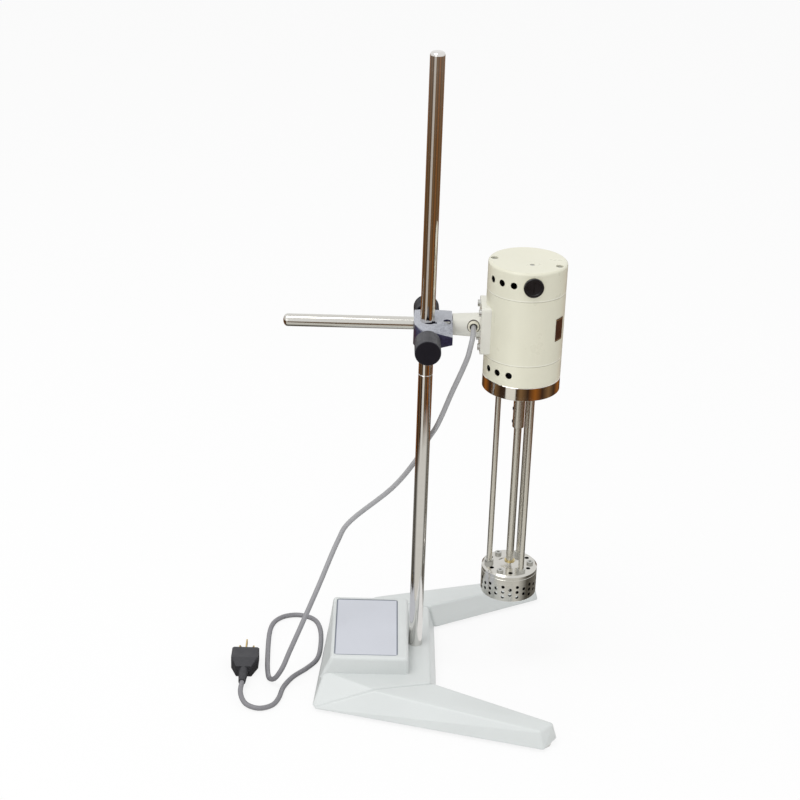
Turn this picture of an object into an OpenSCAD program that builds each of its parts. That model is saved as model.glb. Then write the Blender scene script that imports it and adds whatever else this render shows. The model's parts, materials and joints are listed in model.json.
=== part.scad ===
// Bench rotor stator homogenizer on a stand, in millimetres.
// X points from the post to the motor, Y to the back, Z up. The post stands on the Z axis.

/* [Stand base] */
// Height of the deck that carries the post
deck_h = 29; // [27:1:31]
// Height of the raised block
block_h = 50; // [46:1:54]
// Depth of the raised block
block_depth = 136; // [128:1:140]
// Reach of the base's front left corner to the left of the post
base_left = 116; // [114:1:122]
// Reach of its back left corner
base_back_left = 101; // [100:1:116]
// Reach of the raised block's top
block_left = 98; // [95:1:99]
// Depth of the base at its left end
base_depth = 202; // [198:1:208]
// Distance from the post to the turn in each leg's ridge
shoulder_x = 51; // [44:1:58]
// Reach of the leg tips to the right of the post
leg_reach = 153; // [145:1:160]
// Distance between the inner corners of the leg tips
leg_spread = 312; // [302:1:322]
// Height of the leg tips
tip_h = 26.5; // [24:0.5:27.5]
// Depth of the hub between the legs
hub_depth = 169; // [163:1:174]
// Distance from the post to the hub's inner wall
hub_front = 17; // [17:0.5:20]
// Radius on the casting's edges
edge_r = 4; // [3:0.5:4.5]
// Wall of the hollow casting
casting_wall = 6; // [5:0.5:7]
// Length of the bare plate on the block
plate_l = 124; // [112:1:126]
// Width of the bare plate on the block
plate_w = 74; // [66:1:76]

/* [Feet] */
// Height of the rubber feet
foot_h = 4; // [3:0.5:5]
// Radius of the rubber feet
foot_r = 9; // [8:0.5:10]

/* [Post] */
// Radius of the post
post_r = 8; // [7.5:0.1:8.4]
// Height of the post's top above the table
post_h = 740; // [720:5:800]
// Height of the seam between the post's two lengths
seam_z = 379; // [340:1:400]
// Radius of the threaded ends of the post
post_thread_r = 5; // [4:0.5:6]

/* [Boss head] */
// Height of the boss head's flat top
boss_top = 442; // [440:1:444]
// Height of the boss head
boss_h = 27; // [26:0.5:29]
// Radius of the boss head round the post
boss_r = 15; // [14:0.5:16]
// Distance from the post's axis to the arm side of the boss head
boss_right = 27.5; // [26.5:0.5:28.5]
// Height of the post knob's screw
post_knob_z = 428; // [427:0.5:429]
// Radius of the knobs
knob_r = 14.3; // [12:0.1:15]
// Length of the knobs
knob_l = 32; // [26:1:36]
// Radius of the knob screws
stud_r = 4; // [3:0.5:4]
// Thickness of the brass pressure pads
pad_t = 3; // [2:0.5:3.5]

/* [Cross rod] */
// Radius of the cross rod
rod_r = 7; // [6.5:0.1:7.3]
// Height of the cross rod's axis
rod_z = 431.5; // [431:0.5:432.5]
// Distance between the axes of the post and the cross rod
rod_y = 18; // [17.5:0.5:19]
// Reach of the cross rod to the left of the post
rod_left = 158.5; // [150:0.5:170]
// Depth of the rod's seat in the motor arm
rod_seat = 15; // [12:1:16]

/* [Motor arm] */
// Radius of the arm beside the boss head
arm_r1 = 12; // [11.5:0.1:12.5]
// Radius of the arm at the motor
arm_r2 = 13.7; // [13:0.1:14.5]
// Width of the saddle against the motor
saddle_w = 42; // [38:1:46]
// Height of the saddle
saddle_h = 56; // [52:1:60]
// Thickness of the saddle beside the motor
saddle_t = 6.5; // [5:0.5:8]
// Radius of the cable gland
gland_r = 6.4; // [6:0.1:6.6]

/* [Motor] */
// Distance between the axes of the post and the motor
head_x = 107.6; // [104:0.2:112]
// Radius of the motor housing
motor_r = 43.4; // [42.6:0.1:45]
// Height of the motor's top
motor_top = 509; // [508:0.5:511]
// Height of the seam under the motor cap
cap_seam = 476; // [474:0.5:477]
// Height of the seam over the end bell
bell_seam = 400; // [397:0.5:402]
// Height of the top of the steel flange
flange_top = 375; // [374:0.5:376]
// Thickness of the steel flange
flange_t = 15.5; // [14:0.5:17]
// Wall of the motor housing
motor_wall = 4; // [3.5:0.1:4.2]
// Radius of the vent holes
vent_r = 3.85; // [3:0.05:4.2]
// Radius of the brush caps
brush_cap_r = 10.9; // [10:0.1:11.5]
// Radius of the motor shaft
motor_shaft_r = 5; // [4.6:0.1:5.4]
// Radius of the armature
armature_r = 19.7; // [18.5:0.1:20]
// Length of the laminated cores
core_l = 44; // [38:1:46]

/* [Work head] */
// Radius of the drive shaft
shaft_r = 4.4; // [4:0.05:4.6]
// Radius of the shaft coupling
coupling_r = 6.5; // [6.2:0.1:8]
// Radius of the three support rods
support_r = 3.25; // [3:0.05:3.6]
// Radius of the circle of support rods
support_pcr = 24; // [23:0.5:24.5]
// Height of the stator's lower edge
stator_z = 97; // [90:1:100]
// Height of the stator and its cap
stator_h = 34; // [33:0.5:36]
// Outer radius of the stator
stator_r = 32.5; // [32:0.1:34]
// Wall of the stator
stator_wall = 3; // [2.5:0.1:3.2]
// Radius of the stator's holes
stator_hole_r = 2; // [1.6:0.1:2.3]
// Distance between the stator's holes, up a column
hole_pitch = 6.6; // [6:0.1:6.8]
// Gap between the rotor and the stator
rotor_gap = 0.9; // [0.5:0.1:1.5]

/* [Cord] */
// Radius of the cord
cord_r = 3; // [2.8:0.1:3.1]

/* [Hidden] */

$fn = 96;
edge_fn = 20;                   // facets of the rounded casting edges
hull_fn = 32;                   // facets of the boss head's hull
run = 0.05;                     // running clearance on a radius
fit = 0.02;                     // seated clearance on a radius
lift = 0.3;                     // clearance between pieces of two bodies
over = 1;                       // how far a cut runs past a face

// Base casting
// The left wall leans in to the block's top; side is -1 at the front and 1 at the back
function left_x(side, z) = let (foot = side < 0 ? base_left : base_back_left)
  -foot + (foot - block_left) * (z - foot_h) / (block_h - foot_h);
block_right = -10;
tip_outer = [leg_reach - 12, leg_spread / 2 + 10.5, tip_h - 2.5];
tip_inner = [leg_reach, leg_spread / 2, tip_h];
tip_outer_foot = [leg_reach - 9, leg_spread / 2 + 16, foot_h];
tip_inner_foot = [leg_reach + 5, leg_spread / 2 - 5, foot_h];
hub_corner = [hub_front, hub_depth / 2, deck_h];
hub_corner_foot = [hub_front + 7, hub_depth / 2 - 7.5, foot_h];
function left_foot(side) = [left_x(side, foot_h), base_depth / 2, foot_h];
shoulder = [-shoulder_x, base_depth / 2, deck_h];
function block_foot(side) = [left_x(side, deck_h), block_depth / 2 + 1, deck_h];
hub_boss_r = 17;
roof_z = deck_h - casting_wall;
leg_roof_z = tip_h - 1.5 * casting_wall + 2;
function foot_spots(side) = [[leg_reach - 11, leg_spread / 2 + 1],
  [left_x(side, foot_h) + 14, base_depth / 2 - 15]];
foot_screw_r = 2;
foot_screw_l = 10;
plate_x = (block_right - block_left) / 2 - 4;
plate_t = 0.8;
plate_recess = 1.2;
plate_corner = 4;
plate_gap = 0.4;

// Post and its fastening
socket_z = deck_h - 10;         // floor of the post's socket
web_z = socket_z - 5;           // underside of the web that the nut clamps
washer_t = 1.5;
post_washer_r = 11;
post_nut_r = 9;
post_nut_h = 6;
play = 0.1;                     // axial play of the post and its washer
seam_thread_l = 12;
seam_chamfer = 0.4;
post_dome = 4;

// Boss head
boss_bottom = boss_top - boss_h;
boss_front = -24;
boss_back = rod_y + 16;
knob_gap = 3;                   // between a knob and the boss head, when tight
knob_seat = 12;                 // depth of the screw in a knob
relief = [1.5, -3];             // centre of the post hole's relief
notch = [7, -7.5];              // corner of the notch beside the post
notch_w = 3.4;
pinch = [21.5, 1];              // axis of the boss head's own screw
pinch_z = boss_top - 5;

// Arm, saddle and gland
arm_x = boss_right + 0.7;
saddle_x = head_x - motor_r - saddle_t + 1;
arm_l = saddle_x - arm_x;
gland_x = arm_x + 22.8;
gland_z = rod_z + 2.5;
gland_seat = 6.9;               // floor of the gland's recess, behind the post's axis
gland_groove = 0.7;             // gap round the gland in its recess
gland_l = 3.7;
gland_bore = 4.3;
saddle_z = rod_z;
saddle_corner = 4;
wire_r = 4;
bracket_screw_dy = saddle_w / 2 - 6;
bracket_screw_dz = saddle_h / 2 - 8;
bracket_screw_r = 2;
bracket_screw_l = head_x - saddle_x - 0.2
  - sqrt((motor_r - motor_wall) ^ 2 - (bracket_screw_dy - bracket_screw_r) ^ 2);

// Motor
motor_in = motor_r - motor_wall;
cap_roof = 3;
rim_r = 3;                      // rounding of the cap's rim
vent_z_top = motor_top - 15.5;
vent_z_bottom = flange_top + 13.2;
vent_azimuths = [for (side = [0, 180], k = [-1, 0, 1]) 227 + side + 19.5 * k];
brush_azimuths = [95, 275];
brush_z = motor_top - 15.5;
brush_seat = motor_r + 0.4;
holder_r = 7;
brush_cap_t = 2.6;
bolt_azimuths = [172, 333];
bolt_pcr = motor_in - 2.6;
bolt_r = 2;
bolt_boss_r = 4.6;
bolt_bottom = flange_top + 7;
roof_screw_azimuth = 283;
roof_screw_pcr = 15;
roof_screw_r = 1.5;
roof_screw_head = [2.4, 1.5];   // radius of the head and depth of its countersink
bell_web = 4;
core_z = (cap_seam + bell_seam) / 2 - 3 - core_l / 2;
core_gap = 1;                   // air gap round the armature
yoke_t = 6;
pole_shoe_t = 4;
neck_w = 20;
upper_bearing_r = 9.5;
lower_bearing_r = 13;
upper_journal_r = 3;
upper_bearing_z = motor_top - cap_roof - 6;
lower_bearing_t = 9;
flange_bottom = flange_top - flange_t;
flange_screw_azimuths = [30, 150, 270];
flange_screw_pcr = 33;
coupling_top = flange_bottom - 7.5;
coupling_bottom = coupling_top - 44;
shaft_end = coupling_bottom + 29;
coupling_screw_z = [coupling_bottom + 7, coupling_bottom + 23, coupling_top - 8];
coupling_screw_r = 1.75;
commutator_r = 12;
fan_z = flange_top + bell_web + 2;
fan_r = motor_in - 8.4;
fan_h = 12;
plate_azimuth = 326;
plate_arc = 9;
plate_low = 426;                // lower edge of the dark plate on the housing
plate_h = 26;

// Work head
stator_top = stator_z + stator_h;
stator_cap_t = 6;
rim_t = 6;                      // thickness of the stator's top rim
rim_in = 21;
sleeve_top = stator_top - stator_cap_t;
bore_top = sleeve_top - rim_t;
stator_in = stator_r - stator_wall;
column_count = 24;
mid_hole_z = stator_z + 12.4;
support_azimuths = [60, 180, 300];
screw_azimuths = [0, 120, 240];
flow_azimuths = [for (k = [0 : 5]) 30 + 60 * k];
flow_r = 2.6;
flow_pcr = 24.5;
stator_screw_r = 2;
support_stud_r = 2.5;
support_nut_r = 5.2;
support_nut_h = 4;
bush_r = 6;
bush_top = stator_top + 4.5;
rotor_z = stator_z + 4;
rotor_h = bore_top - rotor_z - 1.7;
rotor_disc_t = 2;
rotor_nut_r = 5.5;
shaft_tip_r = 3;

// Cord: its route, from the gland to the plug
cord_route = [[51, 5, 434], [50.5, -4, 434], [50, -12.5, 432.5], [48.5, -20, 427.5],
  [46.5, -25, 420], [44, -27, 410], [37, -25, 389], [29, -18, 364], [20, -4, 330], [14, 7, 309],
  [6, 16, 290], [-6, 22, 261], [-33, 32, 218], [-80, 43, 168], [-95, 35, 144], [-116, 0, 102],
  [-136, -33, 64], [-147, -47.5, 42], [-153, -55.5, 29], [-158, -58, 20], [-163, -56, 11.5], [-168, -49, 5.5],
  [-172, -38, 3.2], [-175, -5, 3.2], [-176, 62, 3.2], [-166, 89, 3.2],
  [-145, 98, 3.2], [-124, 89, 3.2], [-115, 66, 3.2], [-113, 30, 3.2], [-116, 0, 3.2],
  [-127, -20, 3.2], [-143, -40, 3.2], [-153, -62, 3.2], [-157, -84, 3.2], [-164, -99, 3.2],
  [-179, -106, 3.6], [-194, -100, 5.5], [-201, -84, 9], [-201, -62, 9]];
cord_steps = 2;                 // rings for each stretch between two points
cord_sides = 8;
plug_at = [-201, -62, 9];
plug_relief_l = 24;
plug_l = 38;
plug_w = 32;
plug_t = 18;
pin_l = 17;
plug_z = plug_t / 2;

// Local +Z turned to the front, the back, the right and outwards from the motor's axis
module to_front() { rotate([90, 0, 0]) children(); }
module to_back() { rotate([-90, 0, 0]) children(); }
module to_right() { rotate([0, 90, 0]) children(); }
module at_head() { translate([head_x, rod_y, 0]) children(); }
module outward(azimuth, z) {
  translate([head_x, rod_y, z]) rotate([0, 0, azimuth]) rotate([0, 90, 0]) children();
}
module around(azimuths, radius) {
  for (a = azimuths)
    translate([head_x + radius * cos(a), rod_y + radius * sin(a), 0]) children();
}
module tube(r_out, r_in, h) {
  difference() {
    cylinder(r = r_out, h = h);
    translate([0, 0, -over]) cylinder(r = r_in, h = h + 2 * over);
  }
}
module hexagon(r, h) { cylinder(r = r, h = h, $fn = 6); }
module rounded_rect(w, l, r) {
  square([w - 2 * r, l], center = true);
  square([w, l - 2 * r], center = true);
  for (sx = [-1, 1], sy = [-1, 1])
    translate([sx * (w / 2 - r), sy * (l / 2 - r)]) circle(r = r, $fn = 32);
}

// Corners of the base casting: rounded on top, square at the foot
function pull_in(p, centre) = p + edge_r * 1.2 * (centre - p) / norm(centre - p);
module top_corner(p, centre) {
  q = pull_in([p.x, p.y], centre);
  translate([q.x, q.y, p.z - edge_r]) sphere(r = edge_r, $fn = edge_fn);
}
module foot_corner(p, centre) {
  q = pull_in([p.x, p.y], centre);
  translate([q.x, q.y, p.z]) cylinder(r = edge_r, h = 1, $fn = edge_fn);
}
module flip(side) { mirror([0, side < 0 ? 1 : 0, 0]) children(); }

module leg_form(side) {
  centre = [50, leg_spread / 2 - 35];
  hull() {
    for (p = [shoulder, tip_outer, tip_inner, hub_corner]) top_corner(p, centre);
    for (p = [left_foot(side), tip_outer_foot, tip_inner_foot, hub_corner_foot])
      foot_corner(p, centre);
  }
}
module body_form() {
  centre = [-50, 0];
  hull() for (side = [-1, 1]) flip(side) {
    for (p = [block_foot(side), shoulder, hub_corner]) top_corner(p, centre);
    for (p = [left_foot(side), hub_corner_foot]) foot_corner(p, centre);
  }
}
module block_form() {
  centre = [-55, 0];
  low = deck_h - 2 * edge_r;
  hull() for (side = [-1, 1]) flip(side) {
    top_corner([-block_left, block_depth / 2, block_h], centre);
    top_corner([block_right, block_depth / 2, block_h], centre);
    foot_corner([left_x(side, low), block_depth / 2 + 1, low], centre);
    foot_corner([block_right + 1, block_depth / 2 + 0.5, low], centre);
  }
}
module body_hollow() {
  translate([0, 0, foot_h - over]) linear_extrude(roof_z - foot_h + over)
    polygon([for (side = [-1, 1], k = [0 : 2]) let (corners = [
      [left_x(side, deck_h) + casting_wall + 2, side * (block_depth / 2 + 4)],
      [-shoulder_x - 11, side * (base_depth / 2 - casting_wall - 3)],
      [hub_front - casting_wall - 2, side * (hub_depth / 2 - casting_wall - 5)]])
      corners[side < 0 ? k : 2 - k]]);
}
module block_hollow() {
  inside = casting_wall - block_left;
  right = block_right - casting_wall - 1;
  translate([inside, -block_depth / 2 + casting_wall, roof_z - over])
    cube([right - inside, block_depth - 2 * casting_wall, block_h - casting_wall - roof_z + over]);
}
module leg_hollow() {
  end_x = leg_reach - 45;
  inner = hub_depth / 2 + casting_wall + 1;
  slope = (leg_spread - hub_depth) / 2 / (leg_reach - hub_front);
  translate([0, 0, foot_h - over]) linear_extrude(leg_roof_z - foot_h + over)
    polygon([[hub_front - 3, inner], [end_x, inner + slope * (end_x - hub_front + 3)],
      [end_x, inner + slope * (end_x - hub_front + 3) + 8], [-4, inner + 18]]);
}

module base() {
  color([0.87, 0.88, 0.87]) difference() {
    union() {
      difference() {
        union() {
          body_form();
          block_form();
          for (side = [-1, 1]) flip(side) leg_form(side);
        }
        body_hollow();
        block_hollow();
        for (side = [-1, 1]) flip(side) leg_hollow();
      }
      translate([0, 0, foot_h]) cylinder(r = hub_boss_r, h = deck_h - foot_h - edge_r);
    }
    translate([0, 0, socket_z]) cylinder(r = post_r + run, h = deck_h);
    translate([0, 0, foot_h - over]) cylinder(r = post_thread_r + run, h = deck_h);
    translate([0, 0, foot_h - over]) cylinder(r = post_washer_r + 2, h = web_z - foot_h + over);
    for (side = [-1, 1], spot = foot_spots(side)) translate([spot.x, side * spot.y, foot_h - over])
      cylinder(r = foot_screw_r + fit, h = foot_screw_l + over);
    translate([plate_x, 0, block_h - plate_recess]) linear_extrude(plate_recess + over)
      rounded_rect(plate_w, plate_l, plate_corner);
  }
}
module panel_plate() {
  color([0.82, 0.84, 0.81]) translate([plate_x, 0, block_h - plate_recess])
    linear_extrude(plate_t)
      rounded_rect(plate_w - 2 * plate_gap, plate_l - 2 * plate_gap, plate_corner - plate_gap);
}
module rubber_feet() {
  color([0.25, 0.25, 0.26]) for (side = [-1, 1], spot = foot_spots(side))
    translate([spot.x, side * spot.y, 0]) rotate_extrude() polygon([
      [foot_screw_r + run, foot_h], [foot_screw_r + run, foot_h / 2], [foot_screw_r + 2.2, foot_h / 2],
      [foot_screw_r + 2.2, 0], [foot_r - 0.8, 0], [foot_r, 0.8], [foot_r, foot_h]]);
}
module foot_screws() {
  color("silver") for (side = [-1, 1], spot = foot_spots(side))
    translate([spot.x, side * spot.y, foot_h / 2 - 1.4]) {
      cylinder(r = foot_screw_r + 1.8, h = 1.4);
      cylinder(r = foot_screw_r, h = foot_h / 2 + foot_screw_l);
    }
}

module post_lower() {
  color([0.8, 0.8, 0.82]) difference() {
    rotate_extrude() polygon([[0, foot_h + 1], [post_thread_r - 0.6, foot_h + 1],
      [post_thread_r, foot_h + 1.6], [post_thread_r, socket_z + play], [post_r, socket_z + play],
      [post_r, seam_z - seam_chamfer], [post_r - seam_chamfer, seam_z], [0, seam_z]]);
    translate([0, 0, seam_z - seam_thread_l - 1])
      cylinder(r = post_thread_r + fit, h = seam_thread_l + 1 + over);
  }
}
module post_upper() {
  dome = [for (a = [0 : 15 : 90])
    [post_r - post_dome + post_dome * cos(a), post_h - post_dome + post_dome * sin(a)]];
  color([0.8, 0.8, 0.82]) rotate_extrude() polygon(concat(
    [[0, seam_z - seam_thread_l], [post_thread_r, seam_z - seam_thread_l], [post_thread_r, seam_z],
      [post_r - seam_chamfer, seam_z], [post_r, seam_z + seam_chamfer]], dome, [[0, post_h]]));
}
module post_washer() {
  color("silver") translate([0, 0, web_z - play - washer_t])
    tube(post_washer_r, post_thread_r + fit, washer_t);
}
module post_nut() {
  color("silver") translate([0, 0, web_z - play - washer_t - post_nut_h]) difference() {
    hexagon(post_nut_r, post_nut_h);
    translate([0, 0, -over]) cylinder(r = post_thread_r + fit, h = post_nut_h + 2 * over);
  }
}

module boss_form() {
  front_z = post_knob_z;
  hull() {
    translate([0, 0, boss_bottom]) cylinder(r = boss_r, h = boss_h, $fn = hull_fn);
    translate([boss_right - 2, 0, 0]) rotate([90, 0, 90]) linear_extrude(2)
      polygon([[-20, boss_top - 20], [-20, boss_top - 11], [7, boss_top], [boss_back - 3, boss_top],
        [boss_back - 3, boss_bottom + 4], [8, boss_bottom]]);
    translate([-boss_r + 1, -12, boss_bottom + 3]) cube([2, boss_back + 9, boss_h - 3]);
    translate([0, boss_front + 10, front_z]) to_front()
      cylinder(r = boss_top - front_z, h = 1, $fn = hull_fn);
    translate([0, boss_front + 1, front_z]) to_front() cylinder(r = 11.4, h = 1, $fn = hull_fn);
    translate([0, boss_back - 3, rod_z]) to_back()
      cylinder(r = boss_top - rod_z, h = 3, $fn = hull_fn);
  }
}
module boss_head() {
  color([0.66, 0.69, 0.74]) difference() {
    boss_form();
    translate([0, 0, boss_bottom - over]) cylinder(r = post_r + run, h = boss_h + 2 * over);
    translate([relief.x, relief.y, boss_bottom - over])
      cylinder(r = post_r - 1, h = boss_h + 2 * over);
    translate([notch.x, notch.y, boss_bottom - over]) cube([notch_w, notch_w, boss_h + 2 * over]);
    translate([-boss_r - 5, rod_y, rod_z]) to_right() cylinder(r = rod_r + run, h = 60);
    translate([0, 0, post_knob_z]) to_front() cylinder(r = stud_r + run, h = 40);
    translate([0, rod_y, rod_z]) to_back() cylinder(r = stud_r + run, h = 40);
    translate([pinch.x, pinch.y, pinch_z]) cylinder(r = 4.2, h = 10);
    translate([pinch.x, pinch.y, pinch_z - 12]) cylinder(r = 2 + fit, h = 20);
  }
}
module boss_screw() {
  color([0.7, 0.7, 0.7]) translate([pinch.x, pinch.y, pinch_z]) {
    difference() {
      hexagon(3.9, 3.6);
      translate([0, 0, 2.6]) cylinder(r = 1.6, h = 3);
    }
    translate([0, 0, -11]) cylinder(r = 2, h = 11);
  }
}
module pressure_pad() { cylinder(r = stud_r - 0.2, h = pad_t); }
module knob_stud(from, to) { translate([0, 0, from]) cylinder(r = stud_r, h = to - from); }
module knob() {
  neck = 9.5;
  difference() {
    rotate_extrude() polygon(concat([[0, 0], [neck, 0], [neck, 1.2], [knob_r - 0.8, 1.2],
      [knob_r, 2], [knob_r, knob_l - 1.5]],
      [for (a = [15 : 15 : 90]) [knob_r - 1.5 + 1.5 * cos(a), knob_l - 1.5 + 1.5 * sin(a)]],
      [[0, knob_l]]));
    translate([0, 0, -over]) cylinder(r = stud_r + fit, h = knob_seat + over);
  }
}
post_stud_from = post_r + lift + pad_t + play;
post_knob_from = -boss_front + knob_gap;
module post_pad() {
  color([0.8, 0.65, 0.3]) translate([0, -post_r - lift, post_knob_z]) to_front() pressure_pad();
}
module post_stud() {
  color("silver") translate([0, 0, post_knob_z]) to_front()
    knob_stud(post_stud_from, post_knob_from + knob_seat - play);
}
module post_knob() {
  color([0.16, 0.16, 0.18]) translate([0, -post_knob_from, post_knob_z]) to_front() knob();
}
rod_stud_from = rod_r + lift + pad_t + play;
rod_knob_from = boss_back - rod_y + knob_gap;
module rod_pad() {
  color([0.8, 0.65, 0.3]) translate([0, rod_y + rod_r + lift, rod_z]) to_back() pressure_pad();
}
module rod_stud() {
  color("silver") translate([0, rod_y, rod_z]) to_back()
    knob_stud(rod_stud_from, rod_knob_from + knob_seat - play);
}
module rod_knob() {
  color([0.16, 0.16, 0.18]) translate([0, rod_y + rod_knob_from, rod_z]) to_back() knob();
}
module cross_rod() {
  end = [for (a = [90 : -15 : 0]) [rod_r * cos(a), rod_r * 0.7 - rod_r * 0.7 * sin(a)]];
  color([0.8, 0.8, 0.82]) translate([-rod_left, rod_y, rod_z]) to_right()
    rotate_extrude() polygon(concat(end,
      [[rod_r, rod_left + arm_x + rod_seat], [0, rod_left + arm_x + rod_seat]]));
}

module saddle_form() {
  translate([saddle_x, rod_y, saddle_z]) rotate([90, 0, 90])
    linear_extrude(head_x - saddle_x) rounded_rect(saddle_w, saddle_h, saddle_corner);
}
module motor_bracket() {
  color([0.86, 0.86, 0.8]) difference() {
    union() {
      translate([arm_x, rod_y, rod_z]) to_right() cylinder(r1 = arm_r1, r2 = arm_r2, h = arm_l + 2);
      saddle_form();
    }
    at_head() translate([0, 0, saddle_z - saddle_h]) cylinder(r = motor_r + fit, h = 2 * saddle_h);
    translate([arm_x - over, rod_y, rod_z]) to_right()
      cylinder(r = rod_r + run, h = rod_seat + over + play);
    translate([arm_x, rod_y, rod_z]) to_right() cylinder(r = wire_r, h = 60);
    translate([gland_x, gland_seat, gland_z]) to_front()
      cylinder(r = gland_r + gland_groove, h = 10);
    translate([gland_x, rod_y, gland_z]) to_front() cylinder(r = gland_bore + 1, h = 20);
    translate([arm_x + rod_seat / 2, rod_y, rod_z]) to_back() cylinder(r = 2.5 + fit, h = 20);
    for (sy = [-1, 1], sz = [-1, 1])
      translate([saddle_x, rod_y + sy * bracket_screw_dy, saddle_z + sz * bracket_screw_dz])
        to_right() translate([0, 0, -over]) cylinder(r = bracket_screw_r + 0.1, h = 30);
  }
}
module bracket_grub_screw() {
  color([0.4, 0.4, 0.42]) translate([arm_x + rod_seat / 2, rod_y + rod_r + run, rod_z])
    to_back() difference() {
      cylinder(r = 2.5, h = 4.4);
      translate([0, 0, 2.6]) hexagon(1.4, 3);
    }
}
module bracket_screws() {
  color("silver") for (sy = [-1, 1], sz = [-1, 1])
    translate([saddle_x, rod_y + sy * bracket_screw_dy, saddle_z + sz * bracket_screw_dz])
      to_right() {
        translate([0, 0, -2.6]) difference() {
          cylinder(r = 3.8, h = 2.6);
          translate([-0.5, -5, -0.4]) cube([1, 10, 1.2]);
        }
        cylinder(r = bracket_screw_r, h = bracket_screw_l);
      }
}
module gland_ring() {
  dome = [for (a = [0 : 15 : 90]) [gland_r - 1.6 + 1.6 * cos(a), gland_l - 1.2 + 1.2 * sin(a)]];
  color([0.86, 0.86, 0.82]) translate([gland_x, gland_seat, gland_z]) {
    to_front() rotate_extrude() polygon(concat([[gland_bore, 0], [gland_r, 0]], dome,
      [[gland_bore, gland_l - 0.4]]));
    to_back() tube(gland_bore + 1 - fit, gland_bore, 3.6);
  }
}
module gland_grommet() {
  grommet_l = 5;
  color([0.12, 0.12, 0.12]) translate([gland_x, gland_seat + 3.6, gland_z]) to_front()
    rotate_extrude() polygon([[cord_r + lift, 0], [gland_bore - fit, 0],
      [gland_bore - fit, grommet_l - 0.6], [gland_bore - 0.5, grommet_l],
      [cord_r + lift, grommet_l]]);
}

module housing_holes(azimuths, z, r) {
  for (a = azimuths) outward(a, z) translate([0, 0, motor_in - 12]) cylinder(r = r, h = 30);
}
module bracket_screw_holes() {
  for (sy = [-1, 1], sz = [-1, 1])
    translate([saddle_x, rod_y + sy * bracket_screw_dy, saddle_z + sz * bracket_screw_dz])
      to_right() cylinder(r = bracket_screw_r + fit, h = 18);
}
module motor_cap() {
  rim = [for (a = [0 : 15 : 90])
    [motor_r - rim_r + rim_r * cos(a), motor_top - rim_r + rim_r * sin(a)]];
  color([0.88, 0.88, 0.83]) difference() {
    union() {
      at_head() rotate_extrude() polygon(concat([[motor_in, cap_seam],
        [motor_r - seam_chamfer, cap_seam], [motor_r, cap_seam + seam_chamfer]], rim,
        [[0, motor_top], [0, motor_top - cap_roof], [motor_in, motor_top - cap_roof]]));
      at_head() translate([0, 0, upper_bearing_z]) cylinder(r = upper_bearing_r + 3, h = 6.5);
      around(bolt_azimuths, bolt_pcr) translate([0, 0, cap_seam])
        cylinder(r = bolt_boss_r, h = motor_top - cap_seam - 1.5);
      for (a = brush_azimuths) outward(a, brush_z) translate([0, 0, motor_in - 3])
        cylinder(r = brush_cap_r + 0.5, h = brush_seat - motor_in + 3);
      around([roof_screw_azimuth], roof_screw_pcr) translate([0, 0, motor_top - cap_roof - 3])
        cylinder(r = roof_screw_r + 2, h = 4);
    }
    at_head() translate([0, 0, upper_bearing_z - over])
      cylinder(r = upper_bearing_r + fit, h = 6 + over);
    housing_holes(vent_azimuths, vent_z_top, vent_r);
    for (a = brush_azimuths) outward(a, brush_z) translate([0, 0, 20])
      cylinder(r = holder_r + fit, h = 40);
    around(bolt_azimuths, bolt_pcr) {
      translate([0, 0, cap_seam - over]) cylinder(r = bolt_r + fit, h = 60);
      translate([0, 0, motor_top - 3.2]) cylinder(r = bolt_r + 2.1, h = 10);
    }
    around([roof_screw_azimuth], roof_screw_pcr) {
      translate([0, 0, motor_top - 10]) cylinder(r = roof_screw_r + fit, h = 20);
      translate([0, 0, motor_top - roof_screw_head[1]])
        cylinder(r = roof_screw_head[0] + 0.2, h = 10);
    }
  }
}
module roof_screw() {
  color("silver") around([roof_screw_azimuth], roof_screw_pcr) {
    translate([0, 0, motor_top - cap_roof - 3.5]) cylinder(r = roof_screw_r, h = cap_roof + 1.8);
    translate([0, 0, motor_top - roof_screw_head[1]]) difference() {
      cylinder(r = roof_screw_head[0], h = 1.2);
      translate([-4, -0.4, 0.5]) cube([8, 0.8, 2]);
    }
  }
}
module cap_bolts() {
  color("silver") around(bolt_azimuths, bolt_pcr) {
    translate([0, 0, bolt_bottom]) cylinder(r = bolt_r, h = motor_top - 3.2 - bolt_bottom);
    translate([0, 0, motor_top - 3.2]) difference() {
      cylinder(r = bolt_r + 1.8, h = 2);
      translate([-5, -0.5, 1.1]) cube([10, 1, 2]);
    }
  }
}
module motor_housing() {
  color([0.85, 0.84, 0.78]) difference() {
    at_head() rotate_extrude() polygon([[motor_in, bell_seam], [motor_r - seam_chamfer, bell_seam],
      [motor_r, bell_seam + seam_chamfer], [motor_r, cap_seam - seam_chamfer],
      [motor_r - seam_chamfer, cap_seam], [motor_in, cap_seam]]);
    bracket_screw_holes();
    translate([arm_x, rod_y, rod_z]) to_right() cylinder(r = wire_r, h = 60);
  }
}
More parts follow.
